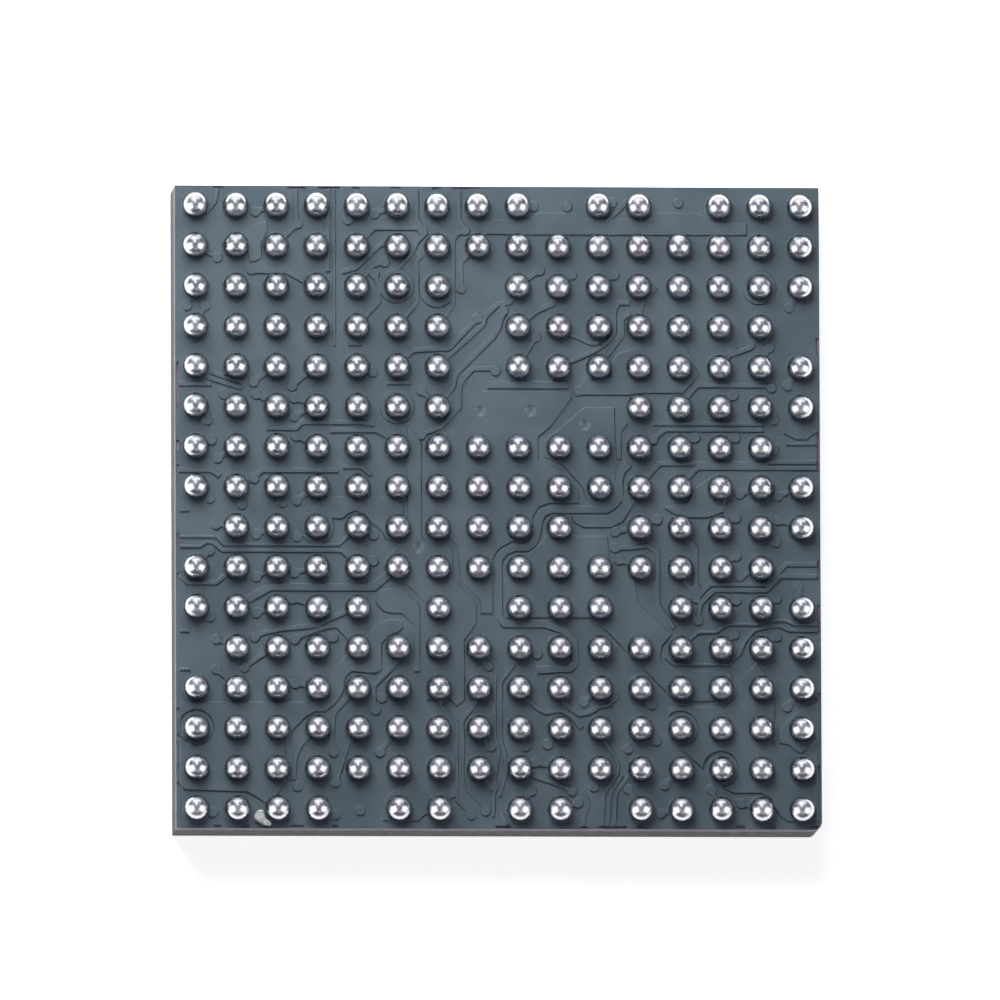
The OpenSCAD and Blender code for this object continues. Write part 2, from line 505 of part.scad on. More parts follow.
// The balls of one row of the grid
module ball_row(r) {
  color([0.8, 0.8, 0.82]) for (c = [0 : grid_n - 1])
    if (has_ball(c, r)) translate([at([c, r])[0], at([c, r])[1], z_pad]) ball();
}

module flux_fleck() {
  color([0.85, 0.88, 0.85]) slab(z_ridge, z_ridge + fleck_t)
    outline([for (q = [[1.4, 15.25], [1.5, 15.05], [1.65, 15.05], [1.68, 15.15], [1.7, 15.25],
      [1.88, 15.4], [1.8, 15.45], [1.6, 15.4]]) at(q)]);
}

mould_cap();
silicon_die();
die_attach_film();
bond_wires();
die_side_mask();
die_side_copper();
laminate_core();
plated_vias();
ball_side_copper();
ball_side_mask();
ball_row(0);  // balls_row_a
ball_row(1);  // balls_row_b
ball_row(2);  // balls_row_c
ball_row(3);  // balls_row_d
ball_row(4);  // balls_row_e
ball_row(5);  // balls_row_f
ball_row(6);  // balls_row_g
ball_row(7);  // balls_row_h
ball_row(8);  // balls_row_j
ball_row(9);  // balls_row_k
ball_row(10);  // balls_row_l
ball_row(11);  // balls_row_m
ball_row(12);  // balls_row_n
ball_row(13);  // balls_row_p
ball_row(14);  // balls_row_r
ball_row(15);  // balls_row_t
flux_fleck();
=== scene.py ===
"""Dresses a ball grid array chip: solder mask relief, reflowed balls, sawn edges and a plain studio."""

import json
import logging
import math
import random
from dataclasses import dataclass, field
from enum import Enum

import bmesh
import bpy
from mathutils import Matrix, Vector, kdtree, noise

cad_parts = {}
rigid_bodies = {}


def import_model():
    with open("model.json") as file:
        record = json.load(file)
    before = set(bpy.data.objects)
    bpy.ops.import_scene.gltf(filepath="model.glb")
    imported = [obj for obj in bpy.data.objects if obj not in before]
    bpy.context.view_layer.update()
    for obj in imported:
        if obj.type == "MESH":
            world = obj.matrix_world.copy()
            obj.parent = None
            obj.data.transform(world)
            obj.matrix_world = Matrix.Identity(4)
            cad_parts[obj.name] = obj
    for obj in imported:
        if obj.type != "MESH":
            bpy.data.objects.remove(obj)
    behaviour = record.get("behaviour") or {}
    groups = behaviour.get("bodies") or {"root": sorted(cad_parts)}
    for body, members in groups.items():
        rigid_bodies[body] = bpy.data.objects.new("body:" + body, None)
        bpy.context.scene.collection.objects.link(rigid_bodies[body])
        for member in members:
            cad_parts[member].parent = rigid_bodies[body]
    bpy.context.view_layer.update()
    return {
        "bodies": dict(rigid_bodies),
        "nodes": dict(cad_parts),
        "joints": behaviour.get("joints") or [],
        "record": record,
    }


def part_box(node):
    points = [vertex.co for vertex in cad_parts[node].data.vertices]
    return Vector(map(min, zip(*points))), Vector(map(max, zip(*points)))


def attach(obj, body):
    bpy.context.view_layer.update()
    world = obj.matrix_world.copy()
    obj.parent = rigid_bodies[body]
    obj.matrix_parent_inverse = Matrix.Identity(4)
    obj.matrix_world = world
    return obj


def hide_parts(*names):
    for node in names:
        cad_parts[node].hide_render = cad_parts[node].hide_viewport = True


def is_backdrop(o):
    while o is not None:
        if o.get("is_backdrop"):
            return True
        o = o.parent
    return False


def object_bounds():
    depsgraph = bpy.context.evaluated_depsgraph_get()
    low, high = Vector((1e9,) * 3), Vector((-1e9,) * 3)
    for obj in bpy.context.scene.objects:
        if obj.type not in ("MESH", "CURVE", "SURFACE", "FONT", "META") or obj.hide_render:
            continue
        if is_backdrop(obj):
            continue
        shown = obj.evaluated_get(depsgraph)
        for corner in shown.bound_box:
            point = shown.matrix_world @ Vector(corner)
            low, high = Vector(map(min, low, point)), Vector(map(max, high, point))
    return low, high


LOG = logging.getLogger("bga_chip")
MM = 0.001
BODY = "root"
MIX_LOW, MIX_HIGH, MIX_RESULT = 6, 7, 2  # a Mix node's colour sockets
UP = Vector((0, 0, 1))

Colour = tuple[float, float, float]


class Shader(Enum):
    """Node types that the finishes are built from."""

    PRINCIPLED = "ShaderNodeBsdfPrincipled"
    NOISE = "ShaderNodeTexNoise"
    WAVE = "ShaderNodeTexWave"
    BUMP = "ShaderNodeBump"
    MIX = "ShaderNodeMix"
    RANGE = "ShaderNodeMapRange"
    COORDINATES = "ShaderNodeTexCoord"
    VECTOR_MATH = "ShaderNodeVectorMath"
    SEPARATE = "ShaderNodeSeparateXYZ"
    OUTPUT = "ShaderNodeOutputMaterial"
    GROUP = "ShaderNodeGroup"
    EMISSION = "ShaderNodeEmission"
    LIGHT_PATH = "ShaderNodeLightPath"
    MATH = "ShaderNodeMath"
    ADD_SHADER = "ShaderNodeAddShader"
    BACKGROUND = "ShaderNodeBackground"
    WORLD_OUTPUT = "ShaderNodeOutputWorld"


def deselect() -> None:
    """Leaves edit mode and selects nothing."""
    if bpy.context.object and bpy.context.object.mode != "OBJECT":
        bpy.ops.object.mode_set(mode="OBJECT")
    bpy.ops.object.select_all(action="DESELECT")


def make_active(obj: bpy.types.Object) -> None:
    """Selects one object alone and makes it active.

    Args:
        obj: The object to work on.
    """
    deselect()
    obj.select_set(True)
    bpy.context.view_layer.objects.active = obj


def node_copy(node: bpy.types.Object, name: str) -> bpy.types.Object:
    """Copies a CAD node's mesh into a new object.

    Args:
        node: The CAD node's object.
        name: Name of the new piece.

    Returns:
        The new object, in the same place.
    """
    mesh = node.data.copy()
    mesh.name = name
    mesh.materials.clear()
    piece = bpy.data.objects.new(name, mesh)
    bpy.context.collection.objects.link(piece)
    return piece


def apply_modifier(obj: bpy.types.Object, modifier: bpy.types.Modifier) -> None:
    """Applies one modifier of an object.

    Args:
        obj: The object that carries it.
        modifier: The modifier to apply.
    """
    make_active(obj)
    bpy.ops.object.modifier_apply(modifier=modifier.name)


def settle(obj: bpy.types.Object, node_names: list[str], finish: "Finish") -> None:
    """Gives a finished piece its material and body, and hides the CAD nodes that it stands for.

    Args:
        obj: The finished piece.
        node_names: CAD nodes that it replaces.
        finish: The finish to dress it in.
    """
    obj.data.materials.clear()
    obj.data.materials.append(finish.material())
    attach(obj, BODY)
    if node_names:
        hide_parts(*node_names)
    LOG.info("%s: %d faces, stands for %s", obj.name, len(obj.data.polygons), node_names)


@dataclass
class NodeTree:
    """Adds and joins nodes in one shader tree."""

    tree: bpy.types.NodeTree

    def add(self, kind: Shader, **values: object) -> bpy.types.Node:
        """Adds a node and sets its properties.

        Args:
            kind: The node's type.
            **values: Properties of the node by name.

        Returns:
            The new node.
        """
        node = self.tree.nodes.new(kind.value)
        for key, value in values.items():
            setattr(node, key, value)
        return node

    def link(self, source: bpy.types.NodeSocket, target: bpy.types.NodeSocket) -> None:
        """Joins an output to an input.

        Args:
            source: The output socket.
            target: The input socket.
        """
        self.tree.links.new(source, target)

    def millimetres(self) -> bpy.types.NodeSocket:
        """Adds Object coordinates scaled so that one unit is a millimetre.

        Returns:
            The scaled coordinates.
        """
        coordinates = self.add(Shader.COORDINATES)
        scaled = self.add(Shader.VECTOR_MATH, operation="SCALE")
        scaled.inputs["Scale"].default_value = 1 / MM
        self.link(coordinates.outputs["Object"], scaled.inputs[0])
        return scaled.outputs["Vector"]

    def blend(self, mask: bpy.types.NodeSocket, low: Colour, high: Colour) -> bpy.types.NodeSocket:
        """Mixes two colours by a mask.

        Args:
            mask: A value from 0 to 1.
            low: Colour where the mask is 0.
            high: Colour where the mask is 1.

        Returns:
            The mixed colour.
        """
        mix = self.add(Shader.MIX, data_type="RGBA")
        self.link(mask, mix.inputs["Factor"])
        mix.inputs[MIX_LOW].default_value = (*low, 1)
        mix.inputs[MIX_HIGH].default_value = (*high, 1)
        return mix.outputs[MIX_RESULT]

    def spread(self, value: bpy.types.NodeSocket, low: float, high: float) -> bpy.types.NodeSocket:
        """Maps a value from 0 to 1 onto a narrower range.

        Args:
            value: A value from 0 to 1.
            low: What 0 becomes.
            high: What 1 becomes.

        Returns:
            The mapped value.
        """
        ranged = self.add(Shader.RANGE)
        self.link(value, ranged.inputs["Value"])
        ranged.inputs["To Min"].default_value = low
        ranged.inputs["To Max"].default_value = high
        return ranged.outputs["Result"]


class SurfaceGroups:
    """Shader node groups that several finishes share, each built once.

    Attributes:
        cloud_detail: Octaves of the clouds.
        cloud_rough: How strong each finer octave of the clouds is.
        ripple_detail: Octaves of the ripple.
        grit_detail: Octaves of the grit.
        grit_per_mm: Grains of grit per millimetre.
    """

    cloud_detail: float = 3.0
    cloud_rough: float = 0.55
    ripple_detail: float = 1.0
    grit_detail: float = 4.0
    grit_per_mm: float = 90.0

    def __init__(self) -> None:
        """Builds the groups."""
        self.mottle = self._mottle()
        self.grain = self._grain()

    @staticmethod
    def _group(name: str, inputs: dict[str, float],
               outputs: list[str]) -> tuple[NodeTree, bpy.types.Node, bpy.types.Node]:
        """Makes an empty group with named sockets.

        Args:
            name: Name of the group.
            inputs: Input names and their default values.
            outputs: Output names.

        Returns:
            The tree, its input node and its output node.
        """
        tree = bpy.data.node_groups.new(name, "ShaderNodeTree")
        for label, value in inputs.items():
            socket = tree.interface.new_socket(name=label, in_out="INPUT", socket_type="NodeSocketFloat")
            socket.default_value = value
        for label in outputs:
            tree.interface.new_socket(name=label, in_out="OUTPUT", socket_type="NodeSocketFloat")
        return NodeTree(tree), tree.nodes.new("NodeGroupInput"), tree.nodes.new("NodeGroupOutput")

    def _mottle(self) -> bpy.types.NodeTree:
        """Builds soft clouds, with a chosen number of them per millimetre.

        Returns:
            The group's tree.
        """
        net, start, end = self._group("mottle", {"Per mm": 1.0, "From": 0.35, "To": 0.65}, ["Mask"])
        clouds = net.add(Shader.NOISE)
        clouds.inputs["Detail"].default_value = self.cloud_detail
        clouds.inputs["Roughness"].default_value = self.cloud_rough
        net.link(net.millimetres(), clouds.inputs["Vector"])
        net.link(start.outputs["Per mm"], clouds.inputs["Scale"])
        ranged = net.add(Shader.RANGE, interpolation_type="SMOOTHSTEP")
        net.link(clouds.outputs["Fac"], ranged.inputs["Value"])
        net.link(start.outputs["From"], ranged.inputs["From Min"])
        net.link(start.outputs["To"], ranged.inputs["From Max"])
        net.link(ranged.outputs["Result"], end.inputs["Mask"])
        return net.tree

    def _grain(self) -> bpy.types.NodeTree:
        """Builds a fine grain for bumps: an orange-peel ripple with finer grit on it.

        Returns:
            The group's tree.
        """
        net, start, end = self._group("grain", {"Per mm": 20.0, "Grit": 0.4}, ["Height"])
        where = net.millimetres()
        ripple = net.add(Shader.NOISE)
        ripple.inputs["Detail"].default_value = self.ripple_detail
        net.link(where, ripple.inputs["Vector"])
        net.link(start.outputs["Per mm"], ripple.inputs["Scale"])
        grit = net.add(Shader.NOISE)
        grit.inputs["Detail"].default_value = self.grit_detail
        grit.inputs["Scale"].default_value = self.grit_per_mm
        net.link(where, grit.inputs["Vector"])
        both = net.add(Shader.MIX, data_type="FLOAT")
        net.link(start.outputs["Grit"], both.inputs["Factor"])
        net.link(ripple.outputs["Fac"], both.inputs["A"])
        net.link(grit.outputs["Fac"], both.inputs["B"])
        net.link(both.outputs["Result"], end.inputs["Height"])
        return net.tree


@dataclass(frozen=True)
class Finish:
    """A surface finish: two tones clouded together, a roughness range and a grain.

    Attributes:
        name: Name of the material.
        dark: Darker tone, linear.
        light: Lighter tone, linear.
        clouds: Clouds per millimetre.
        smooth: Lowest roughness.
        rough: Highest roughness.
        metallic: 1 for metal and 0 for anything else.
        grain: Ripples per millimetre.
        grit: Share of fine grit in the grain.
        bump: Height of the grain in millimetres.
        coat: Weight of a clear glossy layer.
    """

    name: str
    dark: Colour
    light: Colour
    clouds: float = 1.0
    smooth: float = 0.4
    rough: float = 0.5
    metallic: float = 0.0
    grain: float = 20.0
    grit: float = 0.4
    bump: float = 0.001
    coat: float = 0.0

    def material(self) -> bpy.types.Material:
        """Makes the material, or finds it if it is there already.

        Returns:
            The material.
        """
        found = bpy.data.materials.get(self.name)
        if found:
            return found
        made = bpy.data.materials.new(self.name)
        made.use_nodes = True
        made.node_tree.nodes.clear()
        net = NodeTree(made.node_tree)
        shader = net.add(Shader.PRINCIPLED)
        output = net.add(Shader.OUTPUT)
        net.link(shader.outputs["BSDF"], output.inputs["Surface"])
        shader.inputs["Metallic"].default_value = self.metallic
        shader.inputs["Coat Weight"].default_value = self.coat
        mask = self.clouded(net)
        net.link(self.colour(net, mask), shader.inputs["Base Color"])
        net.link(net.spread(mask, self.smooth, self.rough), shader.inputs["Roughness"])
        bump = net.add(Shader.BUMP)
        bump.inputs["Distance"].default_value = self.bump * MM
        net.link(self.height(net), bump.inputs["Height"])
        net.link(bump.outputs["Normal"], shader.inputs["Normal"])
        return made

    def clouded(self, net: NodeTree) -> bpy.types.NodeSocket:
        """Places the shared cloud group.

        Args:
            net: The material's tree.

        Returns:
            The clouds as a mask.
        """
        group = net.add(Shader.GROUP, node_tree=GROUPS.mottle)
        group.inputs["Per mm"].default_value = self.clouds
        return group.outputs["Mask"]

    def colour(self, net: NodeTree, mask: bpy.types.NodeSocket) -> bpy.types.NodeSocket:
        """Blends the two tones by the clouds.

        Args:
            net: The material's tree.
            mask: The clouds.

        Returns:
            The colour of the surface.
        """
        return net.blend(mask, self.dark, self.light)

    def height(self, net: NodeTree) -> bpy.types.NodeSocket:
        """Places the shared grain group.

        Args:
            net: The material's tree.

        Returns:
            The height of the grain.
        """
        group = net.add(Shader.GROUP, node_tree=GROUPS.grain)
        group.inputs["Per mm"].default_value = self.grain
        group.inputs["Grit"].default_value = self.grit
        return group.outputs["Height"]


@dataclass(frozen=True)
class LayeredFinish(Finish):
    """A cut edge through layers of woven glass and resin.

    Attributes:
        layer: Thickness of one glass layer in millimetres.
        thread: Colour of the cut glass threads.
        waver: How far the layers waver.
        waver_octaves: Octaves of the waver.
        waver_fine: How fine the waver is.
        thread_share: Most of the threads' colour that shows.
    """

    layer: float = 0.06
    thread: Colour = (0.4, 0.38, 0.42)
    waver: float = 1.5
    waver_octaves: float = 2.0
    waver_fine: float = 6.0
    thread_share: float = 0.45

    def colour(self, net: NodeTree, mask: bpy.types.NodeSocket) -> bpy.types.NodeSocket:
        """Blends thread-coloured layers into the clouded resin.

        Args:
            net: The material's tree.
            mask: The clouds.

        Returns:
            The colour of the surface.
        """
        resin = net.blend(mask, self.dark, self.light)
        bands = net.add(Shader.WAVE, bands_direction="Z", wave_profile="SIN")
        bands.inputs["Scale"].default_value = math.pi / (10 * self.layer)
        bands.inputs["Distortion"].default_value = self.waver
        bands.inputs["Detail"].default_value = self.waver_octaves
        bands.inputs["Detail Scale"].default_value = self.waver_fine
        net.link(net.millimetres(), bands.inputs["Vector"])
        mix = net.add(Shader.MIX, data_type="RGBA")
        net.link(net.spread(bands.outputs["Fac"], 0.0, self.thread_share), mix.inputs["Factor"])
        net.link(resin, mix.inputs[MIX_LOW])
        mix.inputs[MIX_HIGH].default_value = (*self.thread, 1)
        return mix.outputs[MIX_RESULT]


@dataclass(frozen=True)
class PaintedShadeFootFinish(Finish):
    """A finish whose colour is painted dark towards the foot of the piece, as painted shade and painted
    reflection of dark, shadowed surroundings.

    Attributes:
        foot: Colour of the painted shade at the foot, linear.
        foot_under: Height in millimetres under which the painted shade's colour is full.
        clear_over: Height in millimetres over which none of it is left.
    """

    foot: Colour = (0.03, 0.04, 0.06)
    foot_under: float = 0.0
    clear_over: float = 1.0

    def colour(self, net: NodeTree, mask: bpy.types.NodeSocket) -> bpy.types.NodeSocket:
        """Blends the painted shade's colour at the foot into the clouded metal by height.

        Args:
            net: The material's tree.
            mask: The clouds.

        Returns:
            The colour of the surface.
        """
        parts = net.add(Shader.SEPARATE)
        net.link(net.millimetres(), parts.inputs[0])
        painted_shade_fade = net.add(Shader.RANGE, interpolation_type="SMOOTHSTEP")
        net.link(parts.outputs["Z"], painted_shade_fade.inputs["Value"])
        painted_shade_fade.inputs["From Min"].default_value = self.foot_under
        painted_shade_fade.inputs["From Max"].default_value = self.clear_over
        mix = net.add(Shader.MIX, data_type="RGBA")
        net.link(painted_shade_fade.outputs["Result"], mix.inputs["Factor"])
        mix.inputs[MIX_LOW].default_value = (*self.foot, 1)
        net.link(net.blend(mask, self.dark, self.light), mix.inputs[MIX_HIGH])
        return mix.outputs[MIX_RESULT]


GROUPS = SurfaceGroups()

SOLDER_MASK = Finish("slate_solder_mask", (0.088, 0.129, 0.156), (0.107, 0.153, 0.183), clouds=1.6,
                     smooth=0.36, rough=0.46, grain=26.0, grit=0.35, bump=0.0022, coat=0.6)
LOWER_MASK = Finish("edge_of_lower_mask", (0.04, 0.05, 0.06), (0.07, 0.08, 0.09), clouds=3.0,
                    smooth=0.5, rough=0.65, grain=24.0)
# The balls' dark feet are painted shade and painted reflection, laid into the solder's colour below
# 1.115 mm.
SOLDER = PaintedShadeFootFinish("bright_reflowed_solder", (0.76, 0.77, 0.79), (0.89, 0.90, 0.91), clouds=7.0,
                      smooth=0.25, rough=0.33, metallic=1.0, grain=30.0, grit=0.5, bump=0.0008,
                      foot_under=1.05, clear_over=1.115)
MOULD = Finish("matt_mould_compound", (0.022, 0.022, 0.026), (0.05, 0.05, 0.058), clouds=9.0,
               smooth=0.55, rough=0.75, grain=40.0, grit=0.7, bump=0.004)
LAMINATE = LayeredFinish("sawn_laminate", (0.12, 0.10, 0.15), (0.22, 0.20, 0.27), clouds=4.0,
                         smooth=0.55, rough=0.7, grain=30.0, grit=0.6, bump=0.004)
COPPER = Finish("etched_copper", (0.60, 0.28, 0.16), (0.78, 0.42, 0.28), clouds=3.0, smooth=0.3,
                rough=0.45, metallic=1.0)
SILICON = Finish("polished_silicon", (0.16, 0.17, 0.2), (0.22, 0.23, 0.26), clouds=0.5,
                 smooth=0.1, rough=0.2, metallic=1.0, bump=0.0002)
FILM = Finish("cured_adhesive_film", (0.5, 0.42, 0.25), (0.6, 0.52, 0.34), clouds=3.0)
GOLD = Finish("drawn_gold_wire", (0.85, 0.6, 0.22), (0.95, 0.7, 0.3), clouds=10.0, smooth=0.2,
              rough=0.3, metallic=1.0)
RESIDUE = Finish("dried_flux_residue", (0.42, 0.47, 0.47), (0.75, 0.8, 0.78), clouds=14.0,
                 smooth=0.6, rough=0.85, grain=60.0, grit=0.8, bump=0.006)


@dataclass
class MaskRelief:
    """The ball-side solder mask, whose ridges over the copper get sloped, rounded sides.

    The mask is as thick over copper as beside it, so a ridge rises by the copper's thickness.

    Attributes:
        draw_in: How far the upper edge of a ridge is drawn in, in metres.
        run_out: How far the foot of a ridge runs out, in metres.
        steps: Shares of the rise at which the slope gets another ring.
        arc_step: Longest stretch between two points of an arc that is thinned, in metres.
        arc_turn: Largest turn at a point of such an arc, in degrees.
        smooth_under: Angle between faces under which their edge looks rounded, in degrees.
        level_from: Upward share of a face's normal from which the face counts as level.
        upright_under: Upward share of a face's normal under which the face counts as upright.
        spare: How far outside the rise a point still counts as on the slope, as a share of it.
        sharpest: Least divisor at a corner, which limits how far a sharp one is drawn out.
        cut_within: Distance from a ring's plane within which a point is on it, in metres.
        same: Distance under which two points count as one, in metres.
    """

    draw_in: float = 0.012 * MM
    run_out: float = 0.009 * MM
    steps: tuple[float, ...] = (0.12, 0.5, 0.88)
    arc_step: float = 0.024 * MM
    arc_turn: float = 12.0
    smooth_under: float = 50.0
    level_from: float = 0.9995
    upright_under: float = 0.1
    spare: float = 0.01
    sharpest: float = 0.35
    cut_within: float = 1e-9
    same: float = 2e-7

    def build(self, nodes: dict[str, bpy.types.Object]) -> bpy.types.Object:
        """Models the relief from the CAD node's own mesh.

        Args:
            nodes: The CAD nodes by name.

        Returns:
            The finished piece.
        """
        piece = node_copy(nodes["ball_side_mask"], "solder_mask_relief")
        copper_low, copper_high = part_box("ball_side_copper")
        rise = copper_high[2] - copper_low[2]
        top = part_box("ball_side_mask")[1][2]
        foot = top - rise
        mesh = bmesh.new()
        mesh.from_mesh(piece.data)
        bmesh.ops.remove_doubles(mesh, verts=mesh.verts, dist=self.same / 2)
        self._thin_arcs(mesh)
        self._join_wall_halves(mesh, self._ridge_walls(mesh, foot, top))
        columns = self._columns(mesh, foot, top)
        for share in self.steps:
            self._ring(mesh, foot, top, foot + share * rise)
        moved = self._slope(mesh, columns, foot, rise)
        normals = self._corner_normals(mesh, moved, (foot, top))
        mesh.to_mesh(piece.data)
        mesh.free()
        piece.data.normals_split_custom_set(normals)
        LOG.info("relief: %d wall columns, %d points moved", len(columns), len(moved))
        return piece

    def _place(self, vert: bmesh.types.BMVert) -> tuple[int, int]:
        """Tells where a point lies in plan.

        Args:
            vert: The point.

        Returns:
            Its x and y in steps of the smallest distance.
        """
        return round(vert.co.x / self.same), round(vert.co.y / self.same)

    def _thin_arcs(self, mesh: bmesh.types.BMesh) -> None:
        """Welds every other column of points on small arcs into the next, at every height.

        Args:
            mesh: The mesh being worked on.
        """
        mesh.normal_update()
        beside: dict[tuple[int, int], set[tuple[int, int]]] = {}
        for face in mesh.faces:
            if abs(face.normal.z) > self.upright_under:
                continue
            places = {self._place(v) for v in face.verts}
            for place in places:
                beside.setdefault(place, set()).update(places - {place})
        stacks: dict[tuple[int, int], dict[int, bmesh.types.BMVert]] = {}
        for vert in mesh.verts:
            place = self._place(vert)
            if place in beside:
                stacks.setdefault(place, {})[round(vert.co.z / self.same)] = vert
        welded: dict[bmesh.types.BMVert, bmesh.types.BMVert] = {}
        used: set[tuple[int, int]] = set()
        for place in sorted(beside):
            ends = sorted(beside[place])
            if len(ends) != 2 or used & {place, *ends} or not self._on_arc(ends[0], place, ends[1]):
                continue
            stack, other = stacks[place], stacks[ends[0]]
            if stack.keys() != other.keys():
                continue
            used |= {place, *ends}
            welded.update({vert: other[level] for level, vert in stack.items()})
        bmesh.ops.weld_verts(mesh, targetmap=welded)
        LOG.info("relief: %d points of arcs welded", len(welded))

    def _on_arc(self, start: tuple[int, int], middle: tuple[int, int], end: tuple[int, int]) -> bool:
        """Tells whether three places follow each other closely, with a slight turn.

        Args:
            start: Place before the middle one.
            middle: The place in question.
            end: Place after the middle one.

        Returns:
            True on such an arc.
        """
        first = Vector((middle[0] - start[0], middle[1] - start[1])) * self.same
        second = Vector((end[0] - middle[0], end[1] - middle[1])) * self.same
        close = max(first.length, second.length) < self.arc_step
        return close and first.angle(second) < math.radians(self.arc_turn)

    def _ring(self, mesh: bmesh.types.BMesh, foot: float, top: float, height: float) -> None:
        """Cuts a ring of edges through the sides of the ridges alone.

        Args:
            mesh: The mesh being worked on.
            foot: Height of the ridges' feet.
            top: Height of the ridges' tops.
            height: Height of the ring.
        """
        mesh.normal_update()
        walls = [f for f in mesh.faces if abs(f.normal.z) < self.upright_under
                 and min(v.co.z for v in f.verts) > foot - self.same
                 and max(v.co.z for v in f.verts) < top + self.same]
        edges = list(dict.fromkeys(e for f in walls for e in f.edges))
        verts = list(dict.fromkeys(v for f in walls for v in f.verts))
        bmesh.ops.bisect_plane(mesh, geom=verts + edges + walls, dist=self.cut_within,
                               plane_co=(0, 0, height), plane_no=UP)

    def _is_wall(self, face: bmesh.types.BMFace, foot: float, top: float) -> bool:
        """Tells whether a face is the upright side of a ridge.

        Args:
            face: The face in question.
            foot: Height of the ridges' feet.
            top: Height of the ridges' tops.

        Returns:
            True if it stands upright from foot to top.
        """
        heights = [v.co.z for v in face.verts]
        return (abs(face.normal.z) < self.upright_under and abs(min(heights) - foot) < self.same
                and abs(max(heights) - top) < self.same)

    def _ridge_walls(self, mesh: bmesh.types.BMesh, foot: float, top: float) -> list[bmesh.types.BMFace]:
        """Finds the faces on the sides of ridges.

        Args:
            mesh: The mesh being worked on.
            foot: Height of the ridges' feet.
            top: Height of the ridges' tops.

        Returns:
            The faces.
        """
        mesh.normal_update()
        return [f for f in mesh.faces if self._is_wall(f, foot, top)]

    def _join_wall_halves(self, mesh: bmesh.types.BMesh, walls: list[bmesh.types.BMFace]) -> None:
        """Joins the two triangles of each flat stretch of wall into one face.

        Args:
            mesh: The mesh being worked on.
            walls: The faces on the sides of ridges.
        """
        inside = set(walls)
        slants = []
        for edge in dict.fromkeys(e for f in walls for e in f.edges):
            first, second = edge.verts
            level = abs(first.co.z - second.co.z) < self.same
            upright = (first.co.xy - second.co.xy).length < self.same
            if level or upright or len(edge.link_faces) != 2:
                continue
            if all(f in inside for f in edge.link_faces):
                slants.append(edge)
        bmesh.ops.dissolve_edges(mesh, edges=slants, use_verts=False)

    def _columns(self, mesh: bmesh.types.BMesh, foot: float, top: float) -> list[tuple[Vector, Vector]]:
        """Lists where ridge walls stand and the outward direction there.

        Args:
            mesh: The mesh being worked on.
            foot: Height of the ridges' feet.
            top: Height of the ridges' tops.

        Returns:
            Pairs of a place in plan and its outward direction, longer at a corner.
        """
        found: dict[tuple[int, int], list[Vector]] = {}
        places: dict[tuple[int, int], Vector] = {}
        for face in self._ridge_walls(mesh, foot, top):
            out = Vector((face.normal.x, face.normal.y, 0)).normalized()
            for vert in face.verts:
                key = self._place(vert)
                found.setdefault(key, []).append(out)
                places[key] = Vector((vert.co.x, vert.co.y, 0))
        columns = []
        for key, ways in found.items():
            first = ways[0]
            last = min(ways, key=lambda w: w.dot(first))
            reach = max(1 + first.dot(last), self.sharpest)
            columns.append((places[key], (first + last) / reach))
        return columns

    def _slope(self, mesh: bmesh.types.BMesh, columns: list[tuple[Vector, Vector]], foot: float,
               rise: float) -> set[bmesh.types.BMVert]:
        """Draws each wall out into a rounded slope.

        Args:
            mesh: The mesh being worked on.
            columns: Places of the walls with their outward directions.
            foot: Height of the ridges' feet.
            rise: Height of the ridges over their feet.

        Returns:
            The points that were moved.
        """
        tree = kdtree.KDTree(len(columns))
        for index, (place, _) in enumerate(columns):
            tree.insert(place, index)
        tree.balance()
        moved = set()
        for vert in mesh.verts:
            share = (vert.co.z - foot) / rise
            if share < -self.spare or share > 1 + self.spare:
                continue
            _, index, distance = tree.find((vert.co.x, vert.co.y, 0))
            if distance > 2 * self.same:
                continue
            turn = math.acos(max(-1.0, min(1.0, 1 - 2 * share))) / math.pi
            shift = self.run_out * (1 - turn) - self.draw_in * turn
            vert.co += columns[index][1] * shift
            moved.add(vert)
        return moved

    def _corner_normals(self, mesh: bmesh.types.BMesh, moved: set[bmesh.types.BMVert],
                        levels: tuple[float, float]) -> list[Vector]:
        """Keeps level faces flat and lets the slopes turn smoothly into them.

        Args:
            mesh: The mesh being worked on.
            moved: The points of the slopes.
            levels: Heights of the ridges' feet and tops.

        Returns:
            One normal for each corner of each face, in the mesh's order.
        """
        mesh.normal_update()
        alike = math.cos(math.radians(self.smooth_under))
        normals = []
        for face in mesh.faces:
            face.smooth = True
            level = abs(face.normal.z) > self.level_from
            slope = not level and all(v in moved for v in face.verts)
            for vert in face.verts:
                if level:
                    normals.append(face.normal.copy())
                elif slope and min(abs(vert.co.z - height) for height in levels) < self.same:
                    normals.append(UP)
                else:
                    total = sum((f.normal * f.calc_area() for f in vert.link_faces
                                 if f.normal.dot(face.normal) > alike
                                 and abs(f.normal.z) <= self.level_from), Vector())
                    normals.append(total.normalized())
        return normals


